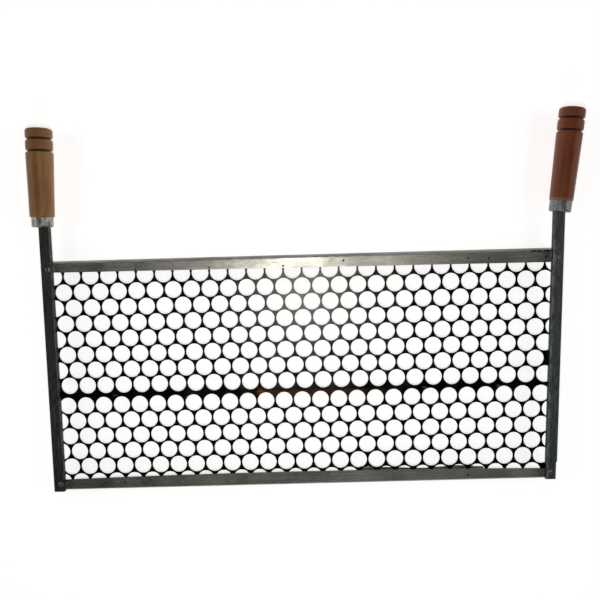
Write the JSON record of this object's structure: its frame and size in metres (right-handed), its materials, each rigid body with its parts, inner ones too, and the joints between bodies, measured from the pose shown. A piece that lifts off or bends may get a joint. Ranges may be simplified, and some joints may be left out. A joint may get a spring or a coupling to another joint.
{
  "type": "barbecue grill grate",
  "caption": "Flat perforated steel cooking grate in folded channel rails, with two flat side bars that run on into turned wooden grips.",
  "frame": {"origin": "middle of the footprint, on the surface that the grate rests on", "axes": "+X across the grate from the left handle to the right one, +Y towards the ends of the handles, +Z out of the front side"},
  "size_m": [0.6474, 0.4436, 0.0327],
  "materials": {
    "bar_steel": "dark hot-rolled flat bar, lightly scaled, with brighter worn edges",
    "rail_steel": "bare folded sheet with a fine lengthwise grain and small scratches",
    "sheet_steel": "dull dark punched sheet, heat-browned along the seam",
    "rivet_metal": "dulled blind rivet with dirt round its head",
    "mandrel_steel": "broken steel stem, rusted",
    "weld_metal": "small lumpy beads, burnt brown to orange",
    "ferrule_metal": "zinc-coated cup, mottled grey",
    "wood_honey": "turned hardwood, honey brown with redder beads, thin worn varnish",
    "wood_red": "turned hardwood, red brown, thin varnish"
  },
  "bodies": {
    "root": {"side_bar_left": "bar_steel", "side_bar_right": "bar_steel", "top_rail": "rail_steel", "bottom_rail": "rail_steel", "upper_sheet": "sheet_steel", "lower_sheet": "sheet_steel", "handle_grip_left": "wood_honey", "handle_grip_right": "wood_red", "ferrule_left": "ferrule_metal", "ferrule_right": "ferrule_metal", "rivet_body_top_left": "rivet_metal", "rivet_body_top_right": "rivet_metal", "rivet_body_bottom_left": "rivet_metal", "rivet_body_bottom_right": "rivet_metal", "rivet_mandrel_top_left": "mandrel_steel", "rivet_mandrel_top_right": "mandrel_steel", "rivet_mandrel_bottom_left": "mandrel_steel", "rivet_mandrel_bottom_right": "mandrel_steel", "plug_welds_top": "weld_metal", "plug_welds_bottom": "weld_metal", "seam_tacks": "weld_metal", "bar_tacks": "weld_metal", "corner_welds": "weld_metal"}
  },
  "joints": []
}
